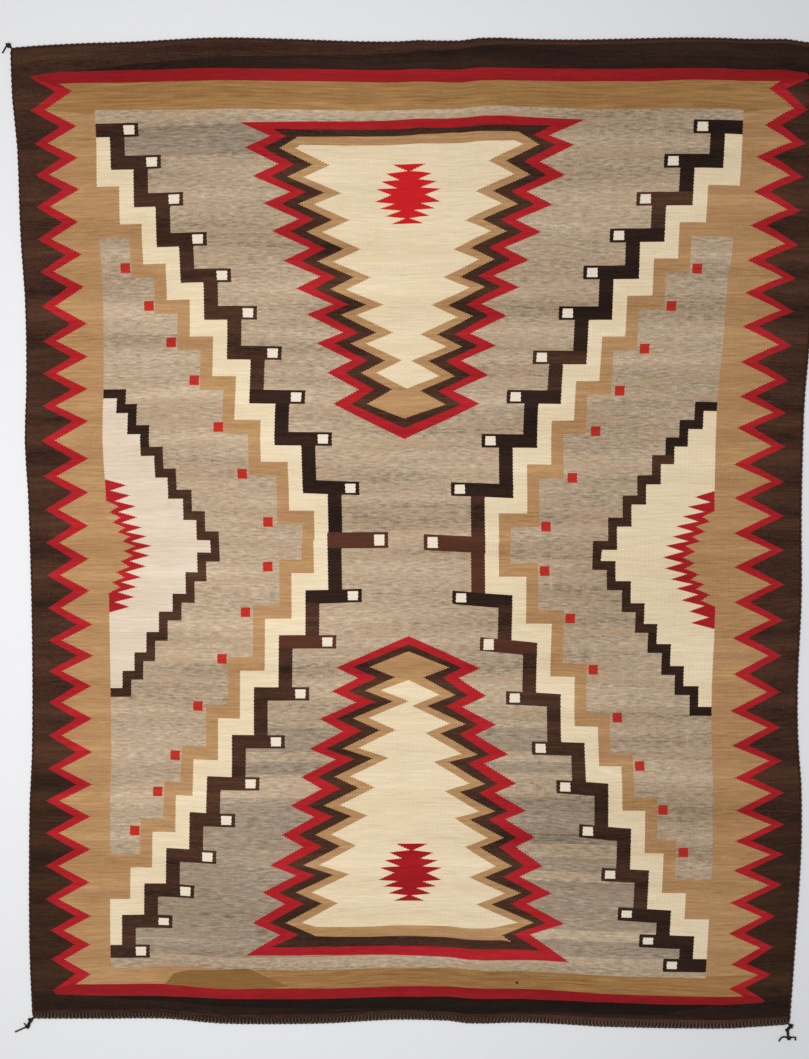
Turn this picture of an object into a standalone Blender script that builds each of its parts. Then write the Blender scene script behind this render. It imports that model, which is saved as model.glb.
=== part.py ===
# Flat handwoven wool rug, lying face up on the floor.
# X runs across the rug along the weft, Y runs along the warp with the upper end of the design
# at +Y, and Z is up. The underside rests on Z = 0 and the origin is under the middle of the
# whole piece, ties included.

import bpy
import bmesh
from mathutils import Vector

# Driving dimensions, in metres.
RUG_THICKNESS = 0.0040      # packed handspun weft over wool warp
CORD_RADIUS = 0.0021        # two-ply edge cords, twined along all four edges
GAP = 0.0003                # clearance between neighbouring pieces
CORD_END_BACK = 0.0022      # each edge cord stops this far short of the rug's corner
EDGE_STEPS = 40             # straight pieces that draw one edge of the rug
KNOT_FLATTEN = 0.75         # height of a knot as a share of its width
MM = 0.001                  # the tables below are in millimetres

# How finely the round pieces are drawn.
CORD_ROUNDNESS = 2          # bevel resolution of an edge cord
STRAND_ROUNDNESS = 0        # four sides on a tie's strand
KNOT_SIDES = 12
KNOT_ROWS = 8
WELD = 0.00001              # points nearer to each other than this are one point

# The rug's own corners before it is centred: the rug narrows towards its lower end.
CORNERS = {
    "top_left": Vector((-0.6025, 0.7380)),
    "top_right": Vector((0.6470, 0.7457)),
    "bottom_right": Vector((0.6024, -0.7761)),
    "bottom_left": Vector((-0.5834, -0.7666)),
}

# How each edge wanders off the straight line between its corners.
# Columns: share of the way along the edge, millimetres outward (negative is inward).
EDGES = {
    "top": ("top_left", "top_right", (
        (0.00, 0.0), (0.03, 3.0), (0.09, 6.5), (0.15, 8.2), (0.25, 13.8), (0.34, 11.0),
        (0.43, 6.5), (0.48, 6.3), (0.51, 8.5), (0.54, 5.8), (0.58, 11.2), (0.64, 8.5),
        (0.70, 7.3), (0.82, 9.5), (0.88, 8.2), (0.91, 6.0), (0.945, 6.8), (0.975, 1.0),
        (1.00, 0.0))),
    "right": ("top_right", "bottom_right", (
        (0.00, 0.0), (0.07, 0.0), (0.20, -6.5), (0.30, -11.0), (0.36, -15.5), (0.42, -15.0),
        (0.48, -13.0), (0.56, -8.0), (0.65, -8.7), (0.71, -4.0), (0.75, 3.0), (0.81, 7.0),
        (0.87, 6.0), (0.98, 1.0), (1.00, 0.0))),
    "bottom": ("bottom_right", "bottom_left", (
        (0.00, 0.0), (0.04, 3.6), (0.09, 7.3), (0.25, 5.6), (0.29, 2.7), (0.355, 0.0),
        (0.42, 2.4), (0.45, -2.0), (0.52, -3.0), (0.57, 0.6), (0.62, 4.3), (0.75, 5.5),
        (0.82, -1.7), (0.90, -1.0), (1.00, 0.0))),
    "left": ("bottom_left", "top_left", (
        (0.00, 0.0), (0.08, 2.0), (0.22, -3.0), (0.28, -9.0), (0.40, -13.0), (0.54, -12.0),
        (0.60, -8.5), (0.66, -13.0), (0.74, -14.0), (0.81, -9.0), (0.90, -7.0), (0.95, -1.0),
        (1.00, 0.0))),
}

# The corner ties: where the edge cords leave the weave and are knotted off.
# Knots: millimetres right and up of the rug's corner, half width.
# Strands: half width, then their stops: right, up, and height off the floor. A strand leaves
# its knot part way up and comes down to lie on the floor.
TIES = {
    "top_left": {
        "knots": ((-3.6, 3.6, 4.4),),
        "strands": (
            (1.4, ((-4.0, 3.2, 2.0), (-8.8, -0.7, 0.6), (-11.0, -4.5, 0.0), (-13.0, -8.0, 0.0))),
        ),
    },
    "top_right": {
        "knots": ((3.6, 3.6, 4.4),),
        "strands": (
            (1.4, ((4.1, 3.4, 2.0), (9.0, 1.9, 0.6), (12.4, -1.2, 0.0), (15.6, -2.4, 0.0))),
        ),
    },
    "bottom_left": {
        "knots": ((-3.2, -3.9, 4.3), (-8.0, -14.0, 4.2)),
        "strands": (
            (2.5, ((-3.4, -4.2, 0.9), (-5.4, -8.6, 0.0), (-7.8, -13.6, 0.7))),
            (1.4, ((-8.7, -14.3, 1.9), (-14.8, -17.2, 0.4), (-22.0, -20.6, 0.0), (-28.2, -23.4, 0.0))),
            (1.2, ((-8.3, -13.1, 2.6), (-12.0, -11.0, 0.5), (-14.6, -9.4, 0.0))),
        ),
    },
    "bottom_right": {
        "knots": ((3.5, -3.5, 4.4), (-1.6, -11.0, 3.6), (0.6, -22.6, 4.2)),
        "strands": (
            (2.3, ((3.3, -3.8, 1.1), (0.7, -7.2, 0.0), (-1.4, -10.6, 0.6))),
            (2.1, ((-1.5, -11.6, 0.5), (-0.7, -16.6, 0.0), (0.5, -22.2, 0.8))),
            (1.5, ((0.1, -22.4, 1.3), (-6.2, -21.4, 0.3), (-11.0, -23.4, 0.0), (-14.8, -29.0, 0.0))),
            (1.4, ((1.1, -22.7, 2.1), (6.4, -22.2, 0.4), (11.4, -22.6, 0.0), (11.2, -27.4, 0.0))),
        ),
    },
}

# Yarn colours from the photograph, as linear values.
DARK_BROWN = (0.030, 0.015, 0.010)
HEATHER = (0.346, 0.262, 0.171)
TIE_BROWN = (0.012, 0.009, 0.009)


def clear_scene():
    """Take every object that is already in the file out of it."""
    for old in list(bpy.data.objects):
        bpy.data.objects.remove(old)


def wool(name, colour):
    """A plain wool material for one piece."""
    material = bpy.data.materials.new(name)
    material.use_nodes = True
    shader = material.node_tree.nodes["Principled BSDF"]
    shader.inputs["Base Color"].default_value = (*colour, 1.0)
    shader.inputs["Roughness"].default_value = 0.95
    shader.inputs["Metallic"].default_value = 0.0
    return material


def wander(rows, share):
    """Smooth curve through the (share, millimetres) rows, read at one share, in metres."""
    last = len(rows) - 1
    index = 0
    while index < last - 1 and share > rows[index + 1][0]:
        index += 1
    before = rows[max(index - 1, 0)]
    start = rows[index]
    end = rows[index + 1]
    after = rows[min(index + 2, last)]
    length = end[0] - start[0]
    slope_in = (end[1] - before[1]) / (end[0] - before[0])
    slope_out = (after[1] - start[1]) / (after[0] - start[0])
    t = (share - start[0]) / length
    value = (start[1] * (2 * t**3 - 3 * t**2 + 1)
             + slope_in * length * (t**3 - 2 * t**2 + t)
             + end[1] * (3 * t**2 - 2 * t**3)
             + slope_out * length * (t**3 - t**2))
    return value * MM


def edge_point(name, share, outward=0.0):
    """A point of one edge, or of a line held a set distance outside it."""
    first, last, rows = EDGES[name]
    start = CORNERS[first]
    end = CORNERS[last]
    along = (end - start).normalized()
    out = Vector((-along.y, along.x))
    return start.lerp(end, share) + out * (wander(rows, share) + outward)


def outline():
    """The rug's own outline, once round, clockwise from the top left corner."""
    points = []
    for name in EDGES:
        for step in range(EDGE_STEPS):
            points.append(edge_point(name, step / EDGE_STEPS))
    return points


def poly_curve(name, points, closed):
    """A curve object through straight-line points."""
    data = bpy.data.curves.new(name, "CURVE")
    data.dimensions = "2D" if closed else "3D"
    spline = data.splines.new("POLY")
    spline.points.add(len(points) - 1)
    for index, point in enumerate(points):
        spline.points[index].co = (point[0], point[1], point[2], 1.0)
    spline.use_cyclic_u = closed
    return bpy.data.objects.new(name, data)


def slab():
    """The woven rug itself: one flat solid with the uneven outline."""
    flat = [(point.x, point.y, 0.0) for point in outline()]
    body = poly_curve("rug_body", flat, closed=True)
    body.data.fill_mode = "BOTH"
    body.data.extrude = RUG_THICKNESS / 2
    body.location.z = RUG_THICKNESS / 2
    return body


def edge_cord(name, edge):
    """A plain tube that lies along one edge, just outside the weave and down on the floor."""
    first, last, _ = EDGES[edge]
    length = (CORNERS[last] - CORNERS[first]).length
    margin = CORD_END_BACK / length
    points = []
    for step in range(EDGE_STEPS + 1):
        share = margin + (1.0 - 2.0 * margin) * step / EDGE_STEPS
        place = edge_point(edge, share, outward=GAP + CORD_RADIUS)
        points.append((place.x, place.y, 0.0))
    cord = poly_curve(name, points, closed=False)
    cord.data.bevel_depth = CORD_RADIUS
    cord.data.bevel_resolution = CORD_ROUNDNESS
    cord.data.use_fill_caps = True
    cord.location.z = CORD_RADIUS
    return cord


def mesh_from_curve(curve_object):
    """Turn a curve into a mesh object with its end caps welded on."""
    bpy.context.view_layer.update()
    graph = bpy.context.evaluated_depsgraph_get()
    mesh = bpy.data.meshes.new_from_object(curve_object.evaluated_get(graph))
    solid = bpy.data.objects.new(curve_object.name, mesh)
    solid.matrix_world = curve_object.matrix_world
    bpy.data.objects.remove(curve_object)
    shape = bmesh.new()
    shape.from_mesh(mesh)
    bmesh.ops.remove_doubles(shape, verts=shape.verts, dist=WELD)
    shape.to_mesh(mesh)
    shape.free()
    return solid


def rest_on_floor(solid):
    """Move a mesh up or down until its lowest point is at Z = 0."""
    lowest = min(vertex.co.z for vertex in solid.data.vertices)
    for vertex in solid.data.vertices:
        vertex.co.z -= lowest


def knot(name, corner, right, up, half_width):
    """A flattened ball of knotted cord."""
    shape = bmesh.new()
    bmesh.ops.create_uvsphere(shape, u_segments=KNOT_SIDES, v_segments=KNOT_ROWS,
                              radius=half_width * MM)
    bmesh.ops.scale(shape, vec=(1.0, 1.0, KNOT_FLATTEN), verts=shape.verts)
    place = Vector((corner.x + right * MM, corner.y + up * MM, 0.0))
    bmesh.ops.translate(shape, vec=place, verts=shape.verts)
    mesh = bpy.data.meshes.new(name)
    shape.to_mesh(mesh)
    shape.free()
    solid = bpy.data.objects.new(name, mesh)
    rest_on_floor(solid)
    return solid


def strand(name, corner, half_width, stops):
    """A four-sided strand that lies flat on the floor along its stops."""
    points = []
    for right, up, lift in stops:
        points.append((corner.x + right * MM, corner.y + up * MM, lift * MM))
    tube = poly_curve(name, points, closed=False)
    tube.data.bevel_depth = half_width * MM
    tube.data.bevel_resolution = STRAND_ROUNDNESS
    tube.data.use_fill_caps = True
    parts.objects.link(tube)
    solid = mesh_from_curve(tube)
    rest_on_floor(solid)
    return solid


def corner_tie(corner_name):
    """Knots and tails of one corner, joined into a single solid."""
    corner = CORNERS[corner_name]
    recipe = TIES[corner_name]
    name = "corner_tie_" + corner_name
    pieces = []
    for right, up, half_width in recipe["knots"]:
        pieces.append(knot(name, corner, right, up, half_width))
    for half_width, stops in recipe["strands"]:
        pieces.append(strand(name + "_strand", corner, half_width, stops))
    tie = pieces[0]
    parts.objects.link(tie)
    tie.name = name
    for piece in pieces[1:]:
        piece.name = name + "_cutter"
        piece.hide_render = True
        piece.display_type = "WIRE"
        cutters.objects.link(piece)
        union = tie.modifiers.new("join", "BOOLEAN")
        union.operation = "UNION"
        union.solver = "EXACT"
        union.object = piece
    return tie


def centre_on_floor(pieces, root):
    """Shift the whole rug so that the middle of its box is over the origin."""
    bpy.context.view_layer.update()
    graph = bpy.context.evaluated_depsgraph_get()
    across = []
    along = []
    for piece in pieces:
        shape = piece.evaluated_get(graph).to_mesh()
        for vertex in shape.vertices:
            across.append(vertex.co.x)
            along.append(vertex.co.y)
        piece.evaluated_get(graph).to_mesh_clear()
    root.location.x = -(min(across) + max(across)) / 2
    root.location.y = -(min(along) + max(along)) / 2


clear_scene()
parts = bpy.data.collections.new("navajo_rug")
cutters = bpy.data.collections.new("tie_parts")
bpy.context.scene.collection.children.link(parts)
bpy.context.scene.collection.children.link(cutters)
rug_centre = bpy.data.objects.new("rug_centre", None)
parts.objects.link(rug_centre)

rug_body = slab()
parts.objects.link(rug_body)
rug_body.data.materials.append(wool("woven_wool", HEATHER))
made = [rug_body]

for cord_name, edge_name in (
        ("end_cord_top", "top"),
        ("end_cord_bottom", "bottom"),
        ("side_cord_left", "left"),
        ("side_cord_right", "right")):
    edge = edge_cord(cord_name, edge_name)
    parts.objects.link(edge)
    edge.data.materials.append(wool(cord_name, DARK_BROWN))
    made.append(edge)

for corner_label in CORNERS:
    tie_object = corner_tie(corner_label)
    tie_object.data.materials.append(wool(tie_object.name, TIE_BROWN))
    made.append(tie_object)

centre_on_floor(made, rug_centre)
for piece_object in made:
    piece_object.parent = rug_centre
for cutter_object in cutters.objects:
    cutter_object.parent = rug_centre
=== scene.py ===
import math
import random

import bmesh
import bpy
import numpy
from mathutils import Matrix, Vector, noise
from mathutils.geometry import delaunay_2d_cdt


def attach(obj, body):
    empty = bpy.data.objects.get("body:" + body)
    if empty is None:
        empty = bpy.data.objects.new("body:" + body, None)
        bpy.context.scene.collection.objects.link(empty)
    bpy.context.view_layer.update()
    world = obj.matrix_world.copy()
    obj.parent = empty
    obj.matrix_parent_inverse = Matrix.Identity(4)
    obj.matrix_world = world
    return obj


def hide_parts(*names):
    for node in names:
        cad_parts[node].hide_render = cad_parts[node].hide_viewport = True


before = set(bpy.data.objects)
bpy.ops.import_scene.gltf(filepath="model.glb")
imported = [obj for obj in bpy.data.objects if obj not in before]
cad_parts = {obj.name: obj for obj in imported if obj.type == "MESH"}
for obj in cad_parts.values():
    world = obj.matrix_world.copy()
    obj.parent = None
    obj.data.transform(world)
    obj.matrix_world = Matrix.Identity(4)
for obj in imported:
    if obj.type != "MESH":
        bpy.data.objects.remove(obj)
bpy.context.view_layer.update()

# The woven cloth. The real one is handspun wool weft packed over wool warp on an upright loom,
# a tapestry weave with the same design on both faces. The design is charted here in
# millimetres, right of the left edge and down from the top edge, as the weaver counts it.
CHART_WIDE = 1215.0
CHART_LONG = 1525.0
THICK = 4.0
WARP = 4.2  # one warp to the next
BOW_MOST = 0.02  # no edge bows further than this, in metres

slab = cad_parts["rug_body"]
rim = sorted({(round(v.co.x, 5), round(v.co.y, 5)) for v in slab.data.vertices})


def rug_corner(across, along):
    """The outermost point of the rug towards one corner."""
    return Vector(max(rim, key=lambda p: across * p[0] + along * p[1]))


def rug_edge(start, end):
    """One edge of the rug: how far it bows outward from a straight line, at each share."""
    along = (end - start).normalized()
    out = Vector((-along.y, along.x))
    length = (end - start).length
    rows = []
    for p in rim:
        step = Vector(p) - start
        share = step.dot(along) / length
        bow = step.dot(out)
        if -0.0001 <= share <= 1.0001 and abs(bow) < BOW_MOST:
            rows.append((share, bow))
    rows.sort()
    return start, end, out, rows


def bow_at(edge, share):
    """The edge's outward bow at one share of its length, as a vector."""
    rows = edge[3]
    for low, high in zip(rows, rows[1:]):
        if share <= high[0]:
            part = (share - low[0]) / max(high[0] - low[0], 1e-9)
            return edge[2] * (low[1] + (high[1] - low[1]) * max(part, 0.0))
    return edge[2] * rows[-1][1]


top_left, top_right = rug_corner(-1, 1), rug_corner(1, 1)
bottom_left, bottom_right = rug_corner(-1, -1), rug_corner(1, -1)
top_edge = rug_edge(top_left, top_right)
right_edge = rug_edge(top_right, bottom_right)
bottom_edge = rug_edge(bottom_right, bottom_left)
left_edge = rug_edge(bottom_left, top_left)


def on_rug(x, y):
    """A point of the chart, in millimetres, as a point of the rug on the floor, in metres."""
    s, t = x / CHART_WIDE, y / CHART_LONG
    flat = (top_left * (1 - s) * (1 - t) + top_right * s * (1 - t)
            + bottom_left * (1 - s) * t + bottom_right * s * t)
    return (flat + bow_at(top_edge, s) * (1 - t) ** 2 + bow_at(bottom_edge, 1 - s) * t ** 2
            + bow_at(left_edge, 1 - t) * (1 - s) + bow_at(right_edge, t) * s)


DOVETAIL = 2.4  # one weft turn to the next along an upright colour join
TURN_OUT = 0.55  # how far each turn stands off the join
ROW_FALL = 3.0  # a line that falls by less than this runs along a row
ROW_POINT = 14.0  # one point to the next along a row
ROW_WAVE = 0.45  # how far a row waves
STEP_DOWN = 0.62  # on a slant: how far down its step each tread lies, as a share,
TREAD_START = 0.12  # where it starts and ends across,
TREAD_END = 0.95
TREAD_FALL = 0.1  # and how far it falls


def woven(points, closed=True):
    """A chart line as the weft draws it: steps of one warp on a slant, small dovetails on an
    upright join, and a slightly uneven line along a row."""
    drawn = []
    count = len(points) if closed else len(points) - 1
    for index in range(count):
        x0, y0 = points[index]
        x1, y1 = points[(index + 1) % len(points)]
        wide, tall = x1 - x0, y1 - y0
        drawn.append((x0, y0))
        if abs(tall) < ROW_FALL or abs(tall) < 0.02 * abs(wide):
            steps = int(abs(wide) / ROW_POINT)
            for k in range(1, steps):
                x = x0 + wide * k / steps
                y = y0 + tall * k / steps
                drawn.append((x, y + ROW_WAVE * noise.noise(Vector((x / 30, y / 9, 1.5)))))
        elif abs(wide) < WARP:
            steps = int(abs(tall) / DOVETAIL)
            for k in range(1, steps):
                x = x0 + wide * k / steps + (TURN_OUT if k % 2 else -TURN_OUT)
                drawn.append((x, y0 + tall * k / steps))
        else:
            steps = max(int(round(abs(wide) / WARP)), 1)
            for k in range(steps):
                turn = y0 + tall * (k + STEP_DOWN) / steps
                drawn.append((x0 + wide * (k + TREAD_START) / steps, turn))
                if k < steps - 1:
                    drawn.append((x0 + wide * (k + TREAD_END) / steps,
                                  turn + tall * TREAD_FALL / steps))
    if not closed:
        drawn.append(points[-1])
    return drawn


def box(x0, y0, x1, y1):
    """A charted block."""
    return [(x0, y0), (x1, y0), (x1, y1), (x0, y1)]


def mirrored(points):
    """The same line measured from the rug's right edge."""
    return [(CHART_WIDE - x, y) for x, y in points]


RIM_CATCH = 3.0  # a line this near the rim runs on it


def to_rim(place, far):
    """A place across or along the chart, brought onto the rim where it lies near."""
    return 0.0 if place < RIM_CATCH else far if place > far - RIM_CATCH else place


laid = []  # the design's areas in the order they cover each other


def lay(yarn, points):
    """Add one area of one yarn to the design, its line already as the weft draws it."""
    laid.append((yarn, points))


def area(yarn, points):
    """Add one area by its charted corners."""
    lay(yarn, [(to_rim(x, CHART_WIDE), to_rim(y, CHART_LONG)) for x, y in woven(points)])


# The border: dark brown all round, then a red line that runs straight at both ends and
# zigzags up both sides, then tan. Rows: x and y of each inward tip of the red line.
LEFT_TEETH = (
    (90, 73), (92, 126.5), (91, 174.6), (92, 223), (89, 273), (92, 323), (92, 373), (95, 430),
    (96, 481), (96, 531), (99, 581), (98, 639.5), (95, 692), (93, 744), (92, 796), (92, 846),
    (96, 899), (97, 948), (93.5, 996), (95, 1047.5), (95.5, 1100.6), (97.5, 1152), (96, 1203),
    (97, 1255), (96, 1307.6), (98.5, 1361.6), (97, 1407.4), (97, 1455))
RIGHT_TEETH = (
    (85, 74.6), (89, 130), (99, 178), (100, 231), (101.5, 282), (103, 335), (104, 384.5),
    (104, 436), (103, 490), (100, 543), (102, 591), (106, 647), (105, 699), (105, 753),
    (105, 805), (105, 859.5), (105, 915), (101, 971), (105.5, 1028), (104, 1082), (103, 1132),
    (103, 1183), (103, 1231), (104, 1277), (107, 1327.5), (106, 1376), (99, 1425), (100, 1463))
OUTWARD_TIP = 26.0  # the red line's outward tips, from the rug's edge,
LOW_TIP = 8.0  # how much further in the lowest ones are,
LOW_TIPS_FROM = 1370  # and where on the chart those start
RED_AT_TIP = 20.5  # width of the red line at an outward tip
RED_AT_NOTCH = 25.0  # and at an inward one


def zigzag(teeth, inner):
    """One side of the red line, from the top down."""
    line = []
    for (x, y), (_, below) in zip(teeth, teeth[1:]):
        more = LOW_TIP if below > LOW_TIPS_FROM else 0.0
        line.append((x if inner else x - RED_AT_NOTCH, y))
        line.append((OUTWARD_TIP + more + (RED_AT_TIP if inner else 0.0), (y + below) / 2))
    x, y = teeth[-1]
    line.append((x if inner else x - RED_AT_NOTCH, y))
    return line


# The long rows between the end bands are packed a little unevenly, so they wave.
RED_TOP = [
    (26, 47.5), (58, 43.5), (184, 43.5), (274, 45.6), (340, 47), (410, 45.7), (480, 43.8),
    (600, 43.8), (740, 45.2), (840, 44.2), (907, 46.2), (1186, 47), (1189, 54)]
TAN_TOP = [
    (70, 60.5), (184, 62.3), (274, 64.5), (365, 64.9), (500, 62.3), (600, 62.8), (700, 64.6),
    (790, 63.2), (862, 63.6), (953, 65.8), (1020, 63.8), (1146, 64)]
FIELD_TOP = [
    (184, 104), (274, 108), (320, 107.5), (500, 105.8), (600, 104.8), (726, 102.5), (817, 103.2),
    (862, 106.3), (953, 107.2)]
FIELD_LOW = [(744, 1444), (697, 1440.5), (640, 1442.9), (272, 1439), (200, 1442.5)]
TAN_LOW = [
    (1140, 1476.5), (980, 1475), (885, 1473.5), (838, 1473), (744, 1471.3), (697, 1469.6),
    (649, 1471.8), (555, 1472.6), (508, 1471.3), (413, 1469.3), (272, 1469.7), (177, 1470.5),
    (72, 1471)]
RED_LOW = [
    (1174, 1485), (1168, 1488.5), (1000, 1488.8), (932, 1487.5), (815, 1489), (744, 1487.5),
    (697, 1486.2), (620, 1489.3), (555, 1488.5), (460, 1486.8), (340, 1486.2), (272, 1487.4),
    (225, 1490), (130, 1489.8), (39, 1487), (35, 1481)]

# The border's brown is painted darker at both ends and up both lower corners: painted shade,
# where the light falls off at the top and bottom. Pale warp shows at the lower edge.
lay("brown", box(0, 0, CHART_WIDE, CHART_LONG))
# Painted shade: darker brown up both lower corners.
area("painted_shade_brown", [(0, 1130), (150, 1150), (150, 1525), (0, 1525)])
area("painted_shade_brown", [(1050, 1215), (1215, 1190), (1215, 1525), (1050, 1525)])
# Painted shade: a darker band along the lower end, with a darker middle laid over it.
area("black_brown", [(0, 1483), (300, 1479), (1215, 1479), (1215, 1525), (400, 1525), (0, 1513)])
area("painted_shade_black", [(60, 1482), (1130, 1482), (1010, 1505), (660, 1511), (420, 1501), (160, 1497)])
area("brown", [(0, 1513), (420, 1511), (1215, 1513), (1215, 1525), (0, 1525)])
area("brown_over_warp", [(0, 1518), (420, 1517), (800, 1518), (1215, 1517), (1215, 1525),
                         (0, 1525)])
# Painted shade: a darker strip along the top end, widest at right.
area("black_brown", [(40, 49), (170, 35), (430, 25), (760, 9), (1215, 6), (1215, 60)])
# The red and the tan of both end bands are darker copies: painted shade, where the light
# falls off at the rug's ends.
area("red", RED_TOP + mirrored(zigzag(RIGHT_TEETH, False)) + RED_LOW
     + zigzag(LEFT_TEETH, False)[::-1])
area("painted_shade_red", RED_TOP + [(1146, 69), (600, 69), (70, 67)])
area("painted_shade_red", RED_LOW + [(72, 1467), (600, 1466), (1140, 1472)])
area("tan", TAN_TOP + mirrored(zigzag(RIGHT_TEETH, True)) + TAN_LOW
     + zigzag(LEFT_TEETH, True)[::-1])
area("painted_shade_tan", TAN_TOP + mirrored(zigzag(RIGHT_TEETH[:2], True)[:2])
     + [(1094, 111), (120, 110)] + zigzag(LEFT_TEETH[:2], True)[1::-1])
area("painted_shade_tan", [(352, 1436), (600, 1438)] + mirrored(zigzag(RIGHT_TEETH[-2:], True)[1:])
     + TAN_LOW[:-3])

# The field is heather grey, carded from cream and dark fleece.
FIELD_LEFT = (
    (120.7, 103), (118, 209), (120.4, 309), (120, 463), (122, 688), (122.4, 861), (124, 1003),
    (128, 1257), (128.7, 1445.5))
FIELD_RIGHT = (
    (1093, 107), (1094, 198), (1084, 358), (1080.7, 549), (1079.6, 702), (1081, 919),
    (1080, 1035), (1077, 1168), (1077, 1447))
field_left = woven(FIELD_LEFT, closed=False)
field_right = woven(FIELD_RIGHT, closed=False)
lay("heather", woven([FIELD_LEFT[0], *FIELD_TOP, FIELD_RIGHT[0]], False)[:-1] + field_right
    + woven([FIELD_RIGHT[-1], *FIELD_LOW, FIELD_LEFT[-1]], False)[1:-1] + field_left[::-1])
# Picks carded with more dark fleece, low on the rug and at its upper left. Rows: the band's
# top and bottom, and where it ends at right. The stepped lines and figures cover its ends.
GREY_BANDS = (
    (131, 176, 384), (1058, 1096, 1078), (1112, 1131, 1078), (1168, 1240, 1078),
    (1262, 1284, 1078), (1300, 1376, 1078), (1392, 1418, 1078), (1168, 1420, 600))
for top, low, end in GREY_BANDS:
    area("grey_heather", box(129, top, end, low))


def along_field(edge, y0, y1):
    """The part of the field's side between two rows, the rows' own ends included."""
    part = []
    for (xa, ya), (xb, yb) in zip(edge, edge[1:]):
        for y in (y0, y1):
            if ya <= y < yb:
                part.append((xa + (xb - xa) * (y - ya) / (yb - ya), y))
        if y0 < yb < y1:
            part.append((xb, yb))
    return sorted(part, key=lambda p: p[1])


def from_side(edge, y0, y1, path):
    """The area between the field's side and a path, from one row to another."""
    side = along_field(edge, y0, y1)
    return woven([side[0], *path, side[-1]], closed=False)[1:-1] + side[::-1]


# The stepped lines, one down each side of the field, with a cream cell at the tip of each
# bar. Rows: the bar's tip and middle, then the outer edge of the riser below it, in
# millimetres from that side's edge of the rug.
LEFT_STEPS = (
    (184, 134, 140), (216, 184, 174), (249, 242, 207), (284, 304, 241), (319, 360, 276),
    (358, 417, 312), (397, 478, 349), (436, 545, 390), (480, 609, 432), (521, 684, 471),
    (565, 766, 469), (522, 853, 433), (482, 924, 391), (440, 1005, 352), (401, 1080, 317),
    (361, 1146, 278), (324, 1204, 252), (295, 1263, 216), (261, 1320, 182), (227, 1370, 147),
    (191, 1418, None))
RIGHT_STEPS = (
    (196, 134, 148), (238, 186, 191), (277, 243, 231), (315, 298, 268), (354, 354, 307),
    (390, 416, 343), (427, 484, 379), (464, 545, 414), (501, 613, 452), (550, 689, 497),
    (594, 772, 498), (550, 859, 455), (505, 932, 414), (462, 1014, 375), (422, 1091, 338),
    (385, 1152, 303), (349, 1221, 267), (312, 1287, 237), (283, 1349, 199), (247, 1390, 160),
    (207, 1427, None))
BAR = 21.0  # height of a bar
RISER = 22.0  # width of a riser
RISER_UNDER = 1.0  # how far it starts above its bar's lower side
MIDDLE = 10  # the bar at the rug's waist, which is a little taller
MIDDLE_MORE = 4.0
CELL = 16.0  # width of a cream cell
CELL_IN = 6.0  # brown left between the cell and the bar's tip
CELL_RISE = 0.4  # how much of its bar's slant a cell is lifted by
TALL = 14.0  # height of one, save for these, by their bar's number:
LEFT_TALL = {MIDDLE: 17, 19: 11}
RIGHT_TALL = {MIDDLE: 17, 12: 17, 17: 12.5, 18: 11, 19: 10.5, 20: 11.5}
# How much higher a slanting bar's tip is than its other end, by the bar's number.
LEFT_SLANT = {9: -3, 11: 2}
RIGHT_SLANT = {9: 4, 10: 4, 11: 7, 12: 9, 13: 4, 15: 3, 16: 5, 17: 3, 18: 4, 19: 2}
# The bars of other dye lots than brown, and the risers that differ from their bar.
LEFT_LOTS = {"black_brown": (7, 8, 9, 11), "red_brown": (10, 12)}
RIGHT_LOTS = {"black_brown": (0, 1, 3, 4, 5, 7, 8, 9, 11, 18, 19, 20), "red_brown": (10, 12)}
LEFT_RISERS = {10: "black_brown", 11: "brown", 12: "brown"}
RIGHT_RISERS = {9: "brown", 11: "brown", 12: "brown"}
# The cream step runs under the line's bars. The tan one and the side panel inside it are held
# off the line by these widths across, and these lifts up or down.
CREAM_UNDER = 6.0
TAN_OUT, TAN_LIFT = 22.0, 25.5
PANEL_OUT, PANEL_LIFT = 41.0, 46.5


def stair(steps, out, lift, first, last, edge, turn):
    """The area outside the stepped line, held off it by out across and lift up or down."""
    rows = [y + (0 if k == MIDDLE else BAR / 2 + lift if k < MIDDLE else -BAR / 2 - lift)
            for k, (_, y, _) in enumerate(steps)]
    path = []
    for k in range(first, last + 1):
        x = steps[k][2] - out
        path += [(x, rows[k]), (x, rows[k + 1])]
    path = turn([p for n, p in enumerate(path) if n == 0 or p != path[n - 1]])
    return from_side(edge, path[0][1], path[-1][1], path)


for steps, edge, turn in ((LEFT_STEPS, field_left, list), (RIGHT_STEPS, field_right, mirrored)):
    lay("cream", stair(steps, -RISER / 2, -CREAM_UNDER, 0, 19, edge, turn))
    lay("tan", stair(steps, TAN_OUT, TAN_LIFT, 1, 18, edge, turn))
    lay("heather", stair(steps, PANEL_OUT, PANEL_LIFT, 2, 17, edge, turn))

for steps, lots, risers, cells, slants, edge, turn in (
        (LEFT_STEPS, LEFT_LOTS, LEFT_RISERS, LEFT_TALL, LEFT_SLANT, field_left, list),
        (RIGHT_STEPS, RIGHT_LOTS, RIGHT_RISERS, RIGHT_TALL, RIGHT_SLANT, field_right, mirrored)):
    for k, (tip, y, riser) in enumerate(steps):
        half = (BAR + (MIDDLE_MORE if k == MIDDLE else 0.0)) / 2
        lot = next((yarn for yarn, bars in lots.items() if k in bars), "brown")
        if k in (0, len(steps) - 1):
            front = turn([(tip, y - half), (tip, y + half)])
            lay(lot, from_side(edge, y - half, y + half, front))
        else:
            outer, rise = min(steps[k - 1][2], riser), slants.get(k, 0.0) / 2
            area(lot, turn([(outer, y - half + rise), (tip, y - half - rise),
                            (tip, y + half - rise), (outer, y + half + rise)]))
        if riser is not None:
            area(risers.get(k, lot), turn(box(riser, y + half - RISER_UNDER, riser + RISER,
                                              steps[k + 1][1])))
    for k, (tip, y, riser) in enumerate(steps):
        half = cells.get(k, TALL) / 2
        y -= slants.get(k, 0.0) * CELL_RISE
        area("cell", turn(box(tip - CELL_IN - CELL, y - half, tip - CELL_IN, y + half)))

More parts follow.
